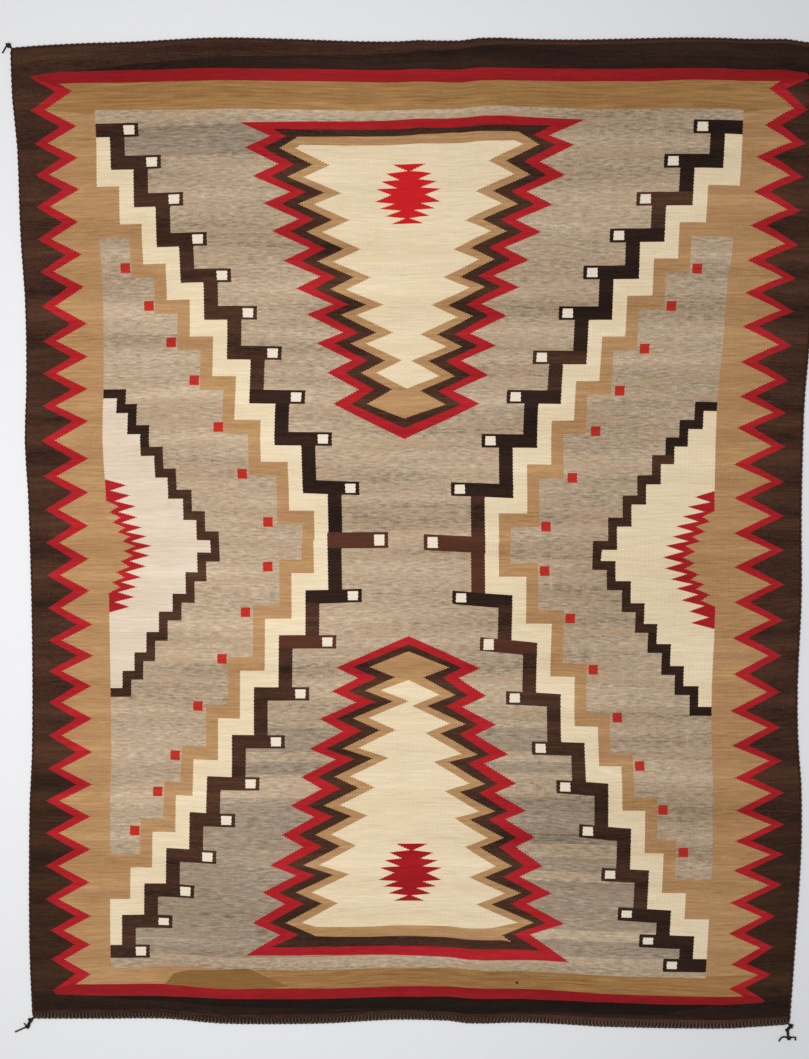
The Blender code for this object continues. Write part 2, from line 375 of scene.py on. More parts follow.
# Small red squares stand where the tan steps meet the side panels.
LEFT_SQUARES = (
    (157, 345), (191, 404), (225, 461), (262, 520), (302, 592), (338, 664), (376, 738),
    (374, 807), (338, 878), (301, 951), (263, 1026), (227, 1105), (201, 1163), (166, 1225))
RIGHT_SQUARES = (
    (179, 349), (216, 406), (254, 471), (288, 535), (323, 597), (359, 669), (401, 745),
    (404, 814), (363, 887), (324, 966), (285, 1040), (252, 1115), (217, 1183), (184, 1249))
SQUARE = 7.5  # half a side
for squares, turn in ((LEFT_SQUARES, list), (RIGHT_SQUARES, mirrored)):
    for x, y in squares:
        area("orange_red", turn(box(x - SQUARE, y - SQUARE, x + SQUARE, y + SQUARE)))

# A cream half diamond with a stepped brown outline stands on each side of the field.
# Rows: how far each bar of the outline reaches in from the rug's edge, and its outer side:
# the top of a bar in the upper half, the bottom of one in the lower.
LEFT_OUTLINE = (
    ((156, 532), (174, 555), (194, 588), (215, 622), (234, 656), (257, 689), (277, 722),
     (298, 753)),
    ((299, 800), (277, 831), (258, 865), (237, 893), (215, 925), (195, 957), (176, 986),
     (157, 1013)))
RIGHT_OUTLINE = (
    ((169, 552), (192, 580), (213, 607), (234, 634), (257, 665), (280, 696), (303, 730),
     (327, 766)),
    ((329, 811), (306, 842), (282, 876), (260, 908), (239, 939), (216, 973), (194, 1004),
     (170, 1036)))
OUTLINE = 14.0  # width of the outline


def half_diamond(rows, inset, edge, turn):
    """The stepped outline, or the area held inside it by inset."""
    upper, lower = rows
    points = []
    for n, (x, y) in enumerate(upper):
        points.append((x - inset, y + inset))
        if n + 1 < len(upper):
            points.append((x - inset, upper[n + 1][1] + inset))
    for n, (x, y) in enumerate(lower):
        if n:
            points.append((x - inset, lower[n - 1][1] - inset))
        points.append((x - inset, y - inset))
    return from_side(edge, points[0][1], points[-1][1], turn(points))


# The outline's first bars are nearly black, and at right its last ones are too.
# Painted shade: at left the outline's cream is a greyer copy, against the lamp's stronger light
# there.
for (top, low), yarn, edge, turn in ((LEFT_OUTLINE, "painted_shade_cream", field_left, list),
                                     (RIGHT_OUTLINE, "cream", field_right, mirrored)):
    lay("brown", half_diamond((top, low), 0.0, edge, turn))
    dark_top = (top[:3], ((top[2][0], top[3][1]),))
    lay("black_brown", half_diamond(dark_top, 0.0, edge, turn))
    if turn is mirrored:
        dark_low = (((low[4][0], low[3][1]),), low[4:])
        lay("black_brown", half_diamond(dark_low, 0.0, edge, turn))
    lay(yarn, half_diamond((top, low), OUTLINE, edge, turn))

# Inside it, a red serrated band hangs on the field's side, with tan behind its middle.
# Rows: the tips of its long teeth.
LEFT_COMB = (
    (154, 681), (159, 697), (167, 714), (169, 731), (176, 747), (183, 761), (191, 776),
    (187, 791), (181, 808), (173, 825), (166, 840), (162, 856), (155, 871))
RIGHT_COMB = (
    (165, 698), (176, 713), (184, 728), (195, 743), (200, 759), (211, 773), (216, 791),
    (213, 808), (204, 825), (195, 839), (187, 857), (174, 874), (172, 892))
SHARP = 1.5  # a point is drawn this much longer, because its last step is thin
COMB_OVER = 10  # how far the band starts over its first tooth and ends under its last
COMB_UNDER = 9


def comb(teeth, depth, edge, turn):
    """The band's teeth, with the field's side behind them."""
    front = []
    for (x, y), (next_x, next_y) in zip(teeth, teeth[1:]):
        front += [(x + SHARP, y), ((x + next_x) / 2 - depth, (y + next_y) / 2)]
    front.append(teeth[-1])
    return from_side(edge, teeth[0][1] - COMB_OVER, teeth[-1][1] + COMB_UNDER, turn(front))


def comb_back(teeth, notch, point, edge, turn):
    """The tan behind the band's middle teeth: a notched line that follows them."""
    back = []
    for (x, y), (next_x, next_y) in zip(teeth[2:-3], teeth[3:-2]):
        back += [(x - notch, y), ((x + next_x) / 2 - point, (y + next_y) / 2)]
    back.append((teeth[-3][0] - notch, teeth[-3][1]))
    return from_side(edge, teeth[2][1] - COMB_UNDER, teeth[-3][1] + COMB_UNDER, turn(back))


for teeth, depth, notch, point, edge, turn in (
        (LEFT_COMB, 27.0, 25.0, 42.0, field_left, list),
        (RIGHT_COMB, 29.0, 30.0, 48.0, field_right, mirrored)):
    lay("red", comb(teeth, depth, edge, turn))
    lay("tan", comb_back(teeth, notch, point, edge, turn))

# The two tall serrated figures: red, brown, tan and cream, one inside the other.
# Rows: notch and tip by turns along the outer edge, from the straight end to the point.
UPPER_LEFT = (
    (380, 148), (344, 166), (392, 190), (356, 209), (410, 232), (372, 250), (423, 273),
    (385, 292), (440, 317), (401, 337), (455, 360), (420, 379), (474, 402), (436, 418),
    (490, 445), (452, 462), (505, 488), (470, 507), (518, 533), (482, 555))
UPPER_RIGHT = (
    (411, 145), (376, 159), (424, 185), (388, 205), (442, 231), (405, 250), (457, 274),
    (421, 292), (474, 317), (439, 335), (490, 360), (453, 377), (508, 403), (471, 421),
    (524, 448), (486, 467), (536, 489), (495, 512), (546, 535), (507, 556))
LOWER_LEFT = (
    (396, 1384), (355, 1365), (403, 1335), (370, 1317), (420, 1290), (381, 1274), (430, 1245),
    (399, 1226), (447, 1198), (412, 1180), (458, 1154), (428, 1135), (480, 1108), (441, 1091),
    (492, 1064), (458, 1044), (513, 1019), (477, 1001), (516, 981), (484, 964))
LOWER_RIGHT = (
    (419, 1386), (368, 1367), (426, 1337), (390, 1320), (439, 1294), (406, 1277), (447, 1247),
    (420, 1232), (464, 1203), (434, 1190), (480, 1161), (450, 1147), (497, 1115), (461, 1101),
    (509, 1070), (479, 1054), (530, 1027), (495, 1009), (536, 982), (505, 966))


def figure(left, right, insets, line, point, first, last):
    """One outline of a tall figure: its straight end, both serrated sides and its point."""
    sides = []
    for rows, (notch, tip) in ((left, insets[:2]), (right, insets[2:])):
        side = [(x + (tip - SHARP if n % 2 else notch + SHARP), y)
                for n, (x, y) in enumerate(rows)]
        sides.append(side[first:last])
    return [*line, *mirrored(sides[1]), point, *sides[0][::-1]]


# Rows: yarn, then how far its notches and tips lie inside the outer edge at left and at right,
# the straight end's line, the point, and the first and last of the rows above that it has.
UPPER_FIGURE = (
    ("red", (0, 0, 0, 0), ((336, 128), (448, 124), (600, 119), (737, 117), (856, 121)),
     (593, 610), 0, 20),
    ("brown", (24, 28, 24, 28), ((386, 137), (447, 136), (595, 133), (737, 131), (806, 130)),
     (593, 593), 0, 20),
    ("tan", (52, 53, 52, 53), ((424, 148), (509, 145), (595, 144), (654, 140), (757, 141)),
     (592, 578), 1, 20),
    ("cream", (78, 77, 78, 77), ((428, 160), (508, 159), (595, 157), (738, 155), (750, 154)),
     (594, 532), 1, 18),
)
LOWER_FIGURE = (
    ("red", (0, 0, 0, 0), ((343, 1417), (464, 1417), (605, 1423), (752, 1426), (858, 1427)),
     (596, 917), 0, 20),
    ("brown", (30, 26, 25.5, 29), ((383, 1404), (464, 1404), (605, 1408), (751, 1408),
                                   (813, 1412)), (596, 930), 0, 20),
    ("tan", (59, 53, 56.5, 49), ((456, 1387), (529, 1391), (604, 1392), (751, 1394),
                                 (764, 1397), (750, 1387)), (596, 941), 1, 20),
    ("cream", (84, 78, 80, 74), ((455, 1372), (528, 1375), (604, 1375), (718, 1375),
                                 (737, 1374)), (597, 986), 1, 18),
)
for rows, left, right in ((UPPER_FIGURE, UPPER_LEFT, UPPER_RIGHT),
                          (LOWER_FIGURE, LOWER_LEFT, LOWER_RIGHT)):
    for yarn, insets, line, point, first, last in rows:
        area(yarn, figure(left, right, insets, line, point, first, last))

# A red serrated diamond stands in the cream of each tall figure. Its upper teeth are flat on top
# and its lower ones flat below. Rows: half width and distance below the diamond's middle, by
# turns of a tooth's tip and the notch under it.
DIAMOND = (
    (24, -46.5), (2.5, -36), (33.5, -32.5), (14.5, -23), (41, -20.5), (18, -10.5), (48, -9),
    (26, 0), (48.5, 10.5), (20, 13.5), (41, 21), (10, 24), (32.5, 32.5), (3, 36), (23.5, 44.5))


def serrated_diamond(x, y):
    """A diamond whose rows end in long thin teeth."""
    right = [(x + half + (0 if n % 2 else SHARP), y + down)
             for n, (half, down) in enumerate(DIAMOND)]
    left = [(2 * x - px, py) for px, py in right]
    return [*right, *left[::-1]]


area("bright_red", serrated_diamond(591, 234))
area("low_red", serrated_diamond(602, 1291))

# A fleck of dark wool sits in the lower tan band, and a patch of the band was woven with a
# darker dye lot, up to a slanting lazy line.
area("red_brown", [(774.5, 1459.5), (778.7, 1461), (779, 1465), (775, 1464)])
area("dark_tan", [(230, 1452), (254, 1445), (334, 1438), (350, 1438), (414, 1467), (330, 1471),
                  (214, 1471)])

# Every area's edges are laid into one flat net, with a loose grid of points between them,
# and each cell of the net takes the yarn of the last area that covers it.
YARNS = tuple(dict.fromkeys(yarn for yarn, _ in laid))
random.seed(7)
GRID = 20.0  # one loose point to the next
STRAY = 4  # how far each is off its place
spots, lines = [], []
for yarn, points in laid:
    if points[0] == (0, 0):          # the rug's own outline, cut at every second warp
        ring = []
        for (x0, y0), (x1, y1) in zip(points, points[1:] + points[:1]):
            steps = int(round((abs(x1 - x0) + abs(y1 - y0)) / (2 * WARP)))
            ring += [(x0 + (x1 - x0) * k / steps, y0 + (y1 - y0) * k / steps)
                     for k in range(steps)]
        points = ring
    first = len(spots)
    spots += points
    lines += [(first + k, first + (k + 1) % len(points)) for k in range(len(points))]
for row in range(1, int(CHART_LONG / GRID)):
    for column in range(1, int(CHART_WIDE / GRID)):
        spots.append((column * GRID + random.uniform(-STRAY, STRAY),
                      row * GRID + random.uniform(-STRAY, STRAY)))
net = delaunay_2d_cdt([Vector(p) for p in spots], lines, [], 0, 0.05, False)
net_spots, net_cells = net[0], net[2]
at = numpy.array([(p.x, p.y) for p in net_spots])
middles = at[numpy.array(net_cells)].mean(axis=1)
cell_yarn = numpy.zeros(len(net_cells), int)
for yarn, points in laid:
    ends = numpy.array(points, float)
    near = numpy.all((middles > ends.min(axis=0)) & (middles < ends.max(axis=0)), axis=1)
    px, py = middles[near, 0], middles[near, 1]
    covered = numpy.zeros(len(px), bool)
    for (x0, y0), (x1, y1) in zip(ends, numpy.roll(ends, -1, axis=0)):
        if y0 != y1:
            covered ^= ((y0 > py) != (y1 > py)) & (px < (x1 - x0) * (py - y0) / (y1 - y0) + x0)
    cell_yarn[numpy.nonzero(near)[0][covered]] = YARNS.index(yarn)

# The chart's flat net becomes the cloth: both faces, a rounded rim, and a gentle cockle.
COCKLE = 0.9  # how far it may lift, in millimetres
RIM_LIFT = 0.5  # the share of that at the rim, which the cords hold down


def cockle(place):
    """How far the cloth stands off the floor, in millimetres: slow waves about 350 mm long,
    with ripples about 100 mm long on them, and flat on the floor between."""
    slow = noise.noise(Vector((place.x * 2.6, place.y * 3.4, 4.0)))
    quick = noise.noise(Vector((place.x * 9.0, place.y * 11.0, 8.0)))
    return COCKLE * max(0.0, 0.45 + slow + 0.35 * quick)


# The edge cords pull the weave in a little at its rim, in millimetres at each edge.
PULL = {"left": 2.2, "right": 0.9, "top": 3.2, "bottom": 1.0}
ROUND = 0.7  # the rim is rounded by this much,
BELLY = 0.2  # and stands out this much at half its height
AT_RIM = 0.01  # a point this near the chart's edge is on the rim
BETWEEN_FACES = 0.0025  # in metres: the upper face lies above this, the lower one below


def drawn_in(x, y, more):
    """How far a point of the rim is pulled in towards the weave, in metres."""
    across = along = 0
    if x < AT_RIM:
        across = PULL["left"] + more
    elif x > CHART_WIDE - AT_RIM:
        across = -PULL["right"] - more
    if y < AT_RIM:
        along = -PULL["top"] - more
    elif y > CHART_LONG - AT_RIM:
        along = PULL["bottom"] + more
    return Vector((across, along)) / 1000


def as_piece(name, shape):
    """Turn finished mesh work into an object of the scene."""
    mesh = bpy.data.meshes.new(name)
    shape.to_mesh(mesh)
    shape.free()
    piece = bpy.data.objects.new(name, mesh)
    bpy.context.scene.collection.objects.link(piece)
    return piece


cloth = bmesh.new()
upper, lower, charted = [], [], {}
for spot in net_spots:
    place = on_rug(spot.x, spot.y)
    from_edge = min(spot.x, spot.y, CHART_WIDE - spot.x, CHART_LONG - spot.y)
    lift = cockle(place)
    if from_edge < AT_RIM:
        place = place + drawn_in(spot.x, spot.y, ROUND)
        lift *= RIM_LIFT
    upper.append(cloth.verts.new((place.x, place.y, (THICK + lift) / 1000)))
    lower.append(cloth.verts.new((place.x, place.y, lift / 1000)))
    charted[upper[-1]] = charted[lower[-1]] = (spot.x, spot.y)
for cell, yarn in zip(net_cells, cell_yarn):
    for side in ([upper[n] for n in cell], [lower[n] for n in reversed(cell)]):
        face = cloth.faces.new(side)
        face.material_index = int(yarn)
cloth.verts.ensure_lookup_table()
open_edges = [e for e in cloth.edges
              if len(e.link_faces) == 1 and e.verts[0].co.z > BETWEEN_FACES]
partner = dict(zip(upper, lower))
belly = {}
for edge in open_edges:
    for up in edge.verts:
        if up not in belly:
            x, y = charted[up]
            place = on_rug(x, y) + drawn_in(x, y, -BELLY)
            belly[up] = cloth.verts.new((place.x, place.y, (up.co.z + partner[up].co.z) / 2))
            charted[belly[up]] = (x, y)
for edge in open_edges:
    face = edge.link_faces[0]
    for loop in face.loops:
        if loop.edge == edge:
            a, b = loop.vert, loop.link_loop_next.vert
    for side in ((b, a, belly[a], belly[b]), (belly[b], belly[a], partner[a], partner[b])):
        cloth.faces.new(side).material_index = 0
    edge.smooth = False
    cloth.edges.get((partner[a], partner[b])).smooth = False
loose = [v for v in cloth.verts if not v.link_faces]
bmesh.ops.delete(cloth, geom=loose, context="VERTS")
weave = cloth.loops.layers.uv.new("weave")
for face in cloth.faces:
    face.smooth = True
    for loop in face.loops:
        x, y = charted[loop.vert]
        loop[weave].uv = (x / 1000, (CHART_LONG - y) / 1000)
rug = as_piece("rug_cloth", cloth)


def linear(code):
    """An sRGB hex colour as the linear values that a shader takes."""
    values = [int(code[k:k + 2], 16) / 255 for k in (1, 3, 5)]
    return (*(v / 12.92 if v <= 0.04045 else ((v + 0.055) / 1.055) ** 2.4 for v in values), 1.0)


def put(tree, kind, links=(), settings=(), values=()):
    """Add a node, set it up, and link its inputs from other nodes' outputs."""
    node = tree.nodes.new(kind)
    for name, value in settings:
        setattr(node, name, value)
    for name, value in values:
        node.inputs[name].default_value = value
    for name, source in links:
        tree.links.new(source, node.inputs[name])
    return node


# The weft is handspun wool: matt and a little hairy, each pick a slightly different tone because
# the fleece was never quite evenly dyed or carded, with a rib over every warp.
# Rows: yarn, dark, light and second dye tone, how many millimetres one tone runs along a pick,
# the share of the tone in beads (with painted shade in the grooves between them), picks and
# lots, and how much pale warp shows through.
YARN_TONES = {
    "brown": ("#231610", "#57392a", "#3c2218", 30, 0.35, 1.30, 2.20),
    "red": ("#88121b", "#c0262f", "#a01b19", 30, 0.15, 1.30, 1.60),
    # Painted shade: a darker copy of the brown, for the lower corners.
    "painted_shade_brown": ("#1e140e", "#4a3020", "#331d13", 30, 0.35, 1.30, 2.20),
    # Painted shade: a darker copy of the red, for both end bands.
    "painted_shade_red": ("#751018", "#a51f26", "#8e1715", 30, 0.15, 1.30, 1.60),
    "tan": ("#8f6a42", "#c8a172", "#a87c5c", 40, 0.15, 1.40, 1.20),
    "cream": ("#cbb897", "#f2e4c8", "#e2ceaa", 40, 0.12, 1.20, 1.20),
    # Painted shade: a greyer copy of the cream, for the half diamond at left.
    "painted_shade_cream": ("#c1af99", "#e8dbcb", "#d8c6af", 40, 0.12, 1.20, 1.20),
    "orange_red": ("#98201a", "#c93527", "#ae291e", 30, 0.15, 1.30, 1.00),
    "heather": ("#7d6b58", "#d2bfa5", "#b3977b", 15, 0.20, 1.70, 1.40),
    "grey_heather": ("#685a4d", "#bcac97", "#9a8570", 18, 0.20, 1.80, 1.20),
    "cell": ("#d6c9b6", "#f2e8d8", "#e4d8c4", 40, 0.15, 0.80, 0.60),
    "dark_tan": ("#74502b", "#98713f", "#85603a", 40, 0.15, 1.20, 0.80),
    # Painted shade: a darker copy of the tan, for both end bands.
    "painted_shade_tan": ("#7d5830", "#b78f5a", "#986c46", 60, 0.15, 1.80, 1.20),
    # A dye lot in the stepped lines and outline, and painted shade along both ends.
    "black_brown": ("#130c0a", "#3a261d", "#25150f", 30, 0.35, 1.30, 1.80),
    # Painted shade: the darkest copy of the brown, in the middle of the lower end.
    "painted_shade_black": ("#0d0908", "#271b15", "#180f0b", 30, 0.35, 1.30, 1.80),
    "brown_over_warp": ("#19110d", "#3c2a1e", "#281a12", 30, 0.35, 1.30, 1.80, 0.30),
    "low_red": ("#800c16", "#b31c25", "#931317", 30, 0.15, 1.30, 1.00),
    "red_brown": ("#3f241a", "#5e3828", "#4c281c", 30, 0.25, 1.00, 1.60),
    "bright_red": ("#b1141c", "#d7232b", "#c01a18", 30, 0.12, 1.20, 0.60),
}
BEAD = 2.6  # height of a weft bead: twice the real one, so that it shows
PICKS = 340  # streaks to a metre up the cloth, half as fine as the real picks
LOTS = (1.6, 22)  # broad dye lots to a metre, along and up the cloth
DYE = (6, 130)  # patches of the second dye tone to a metre, the same way
PALE_WARP = 0.0056  # one pale warp to the next where it shows: every second gap is open


def new_wool(name):
    """A new wool material, its node tree and its shader. Wool scatters light off its scales and
    loose fibres, so it has hardly any highlight and a faint sheen."""
    made = bpy.data.materials.new(name)
    made.use_nodes = True
    shader = made.node_tree.nodes["Principled BSDF"]
    shader.inputs["Specular IOR Level"].default_value = 0.12
    shader.inputs["Sheen Weight"].default_value = 0.02
    shader.inputs["Sheen Roughness"].default_value = 0.6
    return made, made.node_tree, shader


def uneven(tree, place, scale, detail, rough=0.5, moved=(0, 0, 0), slant=0.0):
    """A soft noise along the yarn's own map, so many patches to a metre each way."""
    way = put(tree, "ShaderNodeMapping", [("Vector", place.outputs["UV"])],
              values=[("Location", moved), ("Rotation", (0, 0, slant)), ("Scale", (*scale, 1))])
    return put(tree, "ShaderNodeTexNoise", [("Vector", way.outputs["Vector"])],
               values=[("Scale", 1.0), ("Detail", detail), ("Roughness", rough)])


def over_warp(tree, place, fade, colour, pale):
    """The wool's colour with pale warp showing through it in short ticks."""
    warp = put(tree, "ShaderNodeTexWave", [("Vector", place.outputs["UV"])],
               values=[("Scale", 0.3142 / PALE_WARP), ("Distortion", 0.6)])
    shows = put(tree, "ShaderNodeMapRange", [("Value", warp.outputs["Fac"])],
                values=[("From Min", 0.72), ("From Max", 0.92), ("To Max", pale)])
    worn = put(tree, "ShaderNodeMath", [(0, shows.outputs["Result"]), (1, fade.outputs["Fac"])],
               [("operation", "MULTIPLY")])
    over = put(tree, "ShaderNodeMix", [("Factor", worn.outputs[0]), (6, colour)],
               [("data_type", "RGBA")], [(7, linear("#b3a698"))])
    return over.outputs[2]


def wool_weft(name, dark, light, second, run, beads_and_groove_shade, picks, lots, pale=0.0):
    """Woven wool in one yarn: beads over the warps with painted shade between them, streaked picks
    and broad dye lots.
    """
    made, tree, shader = new_wool(name)
    place = put(tree, "ShaderNodeUVMap", settings=[("uv_map", "weave")])
    turned = put(tree, "ShaderNodeMapping", [("Vector", place.outputs["UV"])],
                 values=[("Rotation", (0, 0, math.pi / 2)), ("Scale", (1000, 1000, 1000))])
    # Each bead takes a tone of its own, and the mortar between beads is darker: painted shade in
    # the grooves.
    bead = put(tree, "ShaderNodeTexBrick", [("Vector", turned.outputs["Vector"])],
               values=[("Scale", 1.0), ("Brick Width", BEAD), ("Row Height", WARP),
                       ("Mortar Size", 0.9), ("Mortar Smooth", 1.0),
                       ("Color1", (0, 0, 0, 1)), ("Color2", (1, 1, 1, 1)),
                       ("Mortar", (0.3, 0.3, 0.3, 1))])
    streak = uneven(tree, place, (1000 / run, PICKS), 3.0, rough=0.6)
    lot = uneven(tree, place, LOTS, 2.0)
    tone = put(tree, "ShaderNodeMath", [(0, bead.outputs["Color"])],
               [("operation", "MULTIPLY_ADD")],
               [(1, beads_and_groove_shade), (2, 0.5 - 0.5 * (beads_and_groove_shade + picks + lots))])
    for pattern, share in ((streak, picks), (lot, lots)):
        tone = put(tree, "ShaderNodeMath", [(0, pattern.outputs["Fac"]), (2, tone.outputs[0])],
                   [("operation", "MULTIPLY_ADD")], [(1, share)])
    ramp = put(tree, "ShaderNodeValToRGB", [("Fac", tone.outputs[0])])
    ramp.color_ramp.elements[0].color = linear(dark)
    ramp.color_ramp.elements[1].color = linear(light)
    dye = uneven(tree, place, DYE, 2.0, moved=(3, 5, 0))
    taken = put(tree, "ShaderNodeMapRange", [("Value", dye.outputs["Fac"])],
                values=[("From Min", 0.45), ("From Max", 0.70), ("To Max", 0.7)])
    mixed = put(tree, "ShaderNodeMix",
                [("Factor", taken.outputs["Result"]), (6, ramp.outputs["Color"])],
                [("data_type", "RGBA")], [(7, linear(second))])
    colour = mixed.outputs[2]
    if pale:
        colour = over_warp(tree, place, lot, colour, pale)
    tree.links.new(colour, shader.inputs["Base Color"])
    hair = put(tree, "ShaderNodeTexNoise", [("Vector", turned.outputs["Vector"])],
               values=[("Scale", 1.4), ("Detail", 2.0)])
    relief = put(tree, "ShaderNodeMath", [(0, bead.outputs["Fac"]), (2, hair.outputs["Fac"])],
                 [("operation", "MULTIPLY_ADD")], [(1, -1.0)])
    bump = put(tree, "ShaderNodeBump", [("Height", relief.outputs[0])],
               values=[("Strength", 0.55), ("Distance", 0.0008)])
    tree.links.new(bump.outputs["Normal"], shader.inputs["Normal"])
    rough = put(tree, "ShaderNodeMapRange", [("Value", streak.outputs["Fac"])],
                values=[("To Min", 0.86), ("To Max", 0.98)])
    tree.links.new(rough.outputs["Result"], shader.inputs["Roughness"])
    return made


for yarn in YARNS:
    rug.data.materials.append(wool_weft("wool_weft_" + yarn, *YARN_TONES[yarn]))
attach(rug, "root")
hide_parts("rug_body")

# The edge cords: two dark brown yarns twined together round every pair of warps at the ends
# and laced up both sides, so each turn stands up as a small bump along the edge.
CORD_TURN = 16.8  # one yarn's full turn, in millimetres
CORD_YARN = 1.08  # a yarn's radius
CORD_LAY = 0.00104  # how far its middle runs from the cord's, in metres
CORD_HIGH = 0.00215  # the cord's middle, above the floor
CORD_OUT = 1.2  # the cord's middle, outside the pulled-in edge of the weave
CORD_POINTS = 160  # points along a cord's line
YARN_END = 0.55  # a yarn's end is thinner by this share


def beside(middle, ahead, turns, radius):
    """A point beside a line that runs ahead, so many turns round it."""
    side = ahead.cross(Vector((0, 0, 1))).normalized()
    angle = 2 * math.pi * turns
    return middle + (side * math.cos(angle) + side.cross(ahead) * math.sin(angle)) * radius


def spun(name, yarns, yarn_radius, lay_radius, turn, path, sides=6, per_turn=9):
    """Yarns twisted together along a path, in metres, each a closed tube with narrowed ends."""
    length = [0.0]
    for a, b in zip(path, path[1:]):
        length.append(length[-1] + (b - a).length)
    count = max(int(length[-1] / turn * per_turn), 4)
    stops, place = [], 0
    for k in range(count + 1):
        want = length[-1] * k / count
        while place < len(path) - 2 and length[place + 1] < want:
            place += 1
        part = (want - length[place]) / max(length[place + 1] - length[place], 1e-9)
        stops.append((path[place].lerp(path[place + 1], part), want))
    shape = bmesh.new()
    weave = shape.loops.layers.uv.new("weave")
    for number in range(yarns):
        middles = []
        for k, (point, along) in enumerate(stops):
            ahead = (stops[min(k + 1, count)][0] - stops[max(k - 1, 0)][0]).normalized()
            middles.append(beside(point, ahead, along / turn + number / yarns, lay_radius))
        rings = []
        for k, middle in enumerate(middles):
            ahead = (middles[min(k + 1, count)] - middles[max(k - 1, 0)]).normalized()
            radius = yarn_radius * (YARN_END if k in (0, count) else 1.0)
            rings.append([shape.verts.new(beside(middle, ahead, n / sides, radius))
                          for n in range(sides)])
        for k in range(count):
            for n in range(sides):
                m = (n + 1) % sides
                face = shape.faces.new((rings[k][n], rings[k][m],
                                        rings[k + 1][m], rings[k + 1][n]))
                face.smooth = True
                for loop, (row, across) in zip(face.loops, (
                        (k, n), (k, n + 1), (k + 1, n + 1), (k + 1, n))):
                    loop[weave].uv = (stops[row][1], across / sides + number * 1.5)
        shape.faces.new(rings[0][::-1])
        shape.faces.new(rings[-1])
    bmesh.ops.recalc_face_normals(shape, faces=shape.faces)
    return as_piece(name, shape)


def plied_wool(name, dark, light, pale=0.0):
    """Plied wool yarn: matt, fine fibres slant round each yarn, and pale warp may show between
    its turns. The fibres are drawn about 1.5 mm apart, much coarser than real, to show at all."""
    made, tree, shader = new_wool(name)
    place = put(tree, "ShaderNodeUVMap", settings=[("uv_map", "weave")])
    fibre = uneven(tree, place, (700, 3), 2.0, slant=0.5)
    length = uneven(tree, place, (14, 1), 3.0)
    both = put(tree, "ShaderNodeMath", [(0, fibre.outputs["Fac"]), (1, length.outputs["Fac"])],
               [("operation", "ADD")])
    half = put(tree, "ShaderNodeMath", [(0, both.outputs[0])], [("operation", "MULTIPLY_ADD")],
               [(1, 1.1), (2, -0.6)])
    ramp = put(tree, "ShaderNodeValToRGB", [("Fac", half.outputs[0])])
    ramp.color_ramp.elements[0].color = linear(dark)
    ramp.color_ramp.elements[1].color = linear(light)
    colour = ramp.outputs["Color"]
    if pale:
        colour = over_warp(tree, place, length, colour, pale)
    tree.links.new(colour, shader.inputs["Base Color"])
    bump = put(tree, "ShaderNodeBump", [("Height", fibre.outputs["Fac"])],
               values=[("Strength", 0.5), ("Distance", 0.0004)])
    tree.links.new(bump.outputs["Normal"], shader.inputs["Normal"])
    shader.inputs["Roughness"].default_value = 0.93
    return made


CORD_STOP = 0.0018  # share of the edge that each cord leaves free at a corner
cord_wools = {"plied_brown_wool": plied_wool("plied_brown_wool", "#2a1b15", "#4c3226"),
              "plied_brown_wool_over_warp": plied_wool("plied_brown_wool_over_warp", "#231712",
                                                       "#43301f", 0.8)}
for name, edge, side, wool in (
        ("end_cord_top", top_edge, "top", "plied_brown_wool"),
        ("end_cord_bottom", bottom_edge, "bottom", "plied_brown_wool_over_warp"),
        ("side_cord_left", left_edge, "left", "plied_brown_wool"),
        ("side_cord_right", right_edge, "right", "plied_brown_wool")):
    start, end, out, _ = edge
    path = []
    for k in range(CORD_POINTS + 1):
        share = CORD_STOP + (1 - 2 * CORD_STOP) * k / CORD_POINTS
        point = start.lerp(end, share) + bow_at(edge, share) + out * (CORD_OUT - PULL[side]) / 1000
        path.append(Vector((point.x, point.y, CORD_HIGH)))
    cord = spun("twined_" + name, 2, CORD_YARN / 1000, CORD_LAY, CORD_TURN / 1000, path)
    cord.data.materials.append(cord_wools[wool])
    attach(cord, "root")
    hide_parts(name)

